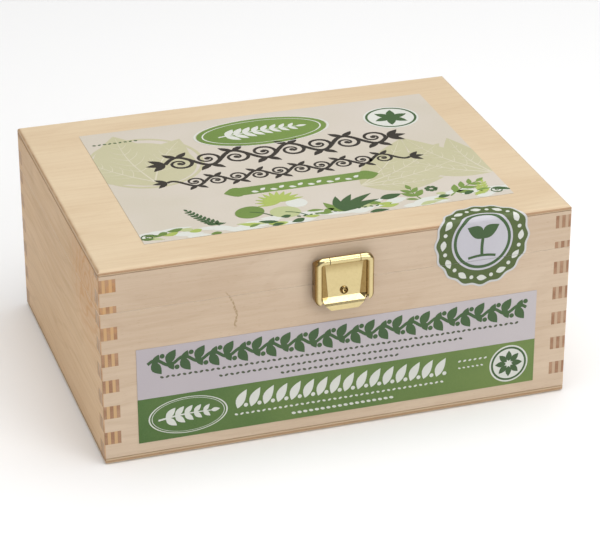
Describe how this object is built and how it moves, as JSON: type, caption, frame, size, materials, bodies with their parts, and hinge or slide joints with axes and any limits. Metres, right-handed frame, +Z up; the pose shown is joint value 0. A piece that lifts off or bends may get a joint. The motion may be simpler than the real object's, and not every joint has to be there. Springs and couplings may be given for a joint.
{
  "type": "seed organizer box",
  "caption": "Plywood box for seed packets with finger-jointed walls, a hinged lid, a sprung brass catch and paper labels.",
  "frame": {"origin": "centre of the box's underside", "axes": "+Z up, catch facing -Y, hinges on the +Y side, +X to the right seen from the front, along the box's width"},
  "size_m": [0.2, 0.1589, 0.0872],
  "materials": {
    "wall_wood": "sanded plywood, satin",
    "panel_wood": "sanded plywood, satin",
    "hardware_brass": "polished",
    "pin_steel": "drawn",
    "label_paper": "matt print",
    "seal_paper": "matt print"
  },
  "bodies": {
    "box": {"base_panel": "panel_wood", "front_wall": "wall_wood", "back_wall": "wall_wood", "left_wall": "wall_wood", "right_wall": "wall_wood", "front_label": "label_paper", "seal_on_body": "seal_paper", "catch_keeper": "hardware_brass", "catch_keeper_nails": "hardware_brass", "left_hinge_body_leaf": "hardware_brass", "right_hinge_body_leaf": "hardware_brass", "left_hinge_pin": "pin_steel", "right_hinge_pin": "pin_steel", "hinge_body_nails": "hardware_brass"},
    "lid": {"lid_panel": "panel_wood", "lid_front_rail": "wall_wood", "lid_back_rail": "wall_wood", "lid_left_rail": "wall_wood", "lid_right_rail": "wall_wood", "lid_label": "label_paper", "seal_on_lid": "seal_paper", "catch_plate": "hardware_brass", "catch_plate_nails": "hardware_brass", "left_hinge_lid_leaf": "hardware_brass", "right_hinge_lid_leaf": "hardware_brass", "hinge_lid_nails": "hardware_brass"},
    "catch": {"catch_flap": "hardware_brass", "catch_pin": "pin_steel", "catch_rivet": "hardware_brass", "catch_tongue": "pin_steel"}
  },
  "joints": [
    {"name": "lid_open", "type": "hinge", "parent": "box", "child": "lid", "pos_m": [0, 0.07675, 0.06828], "axis": [-1, 0, 0], "range_deg": [0, 180]},
    {"name": "catch_swing", "type": "hinge", "parent": "lid", "child": "catch", "pos_m": [0, -0.079, 0.0796], "axis": [-1, 0, 0], "range_deg": [0, 170], "deforming": ["catch_tongue"]}
  ]
}
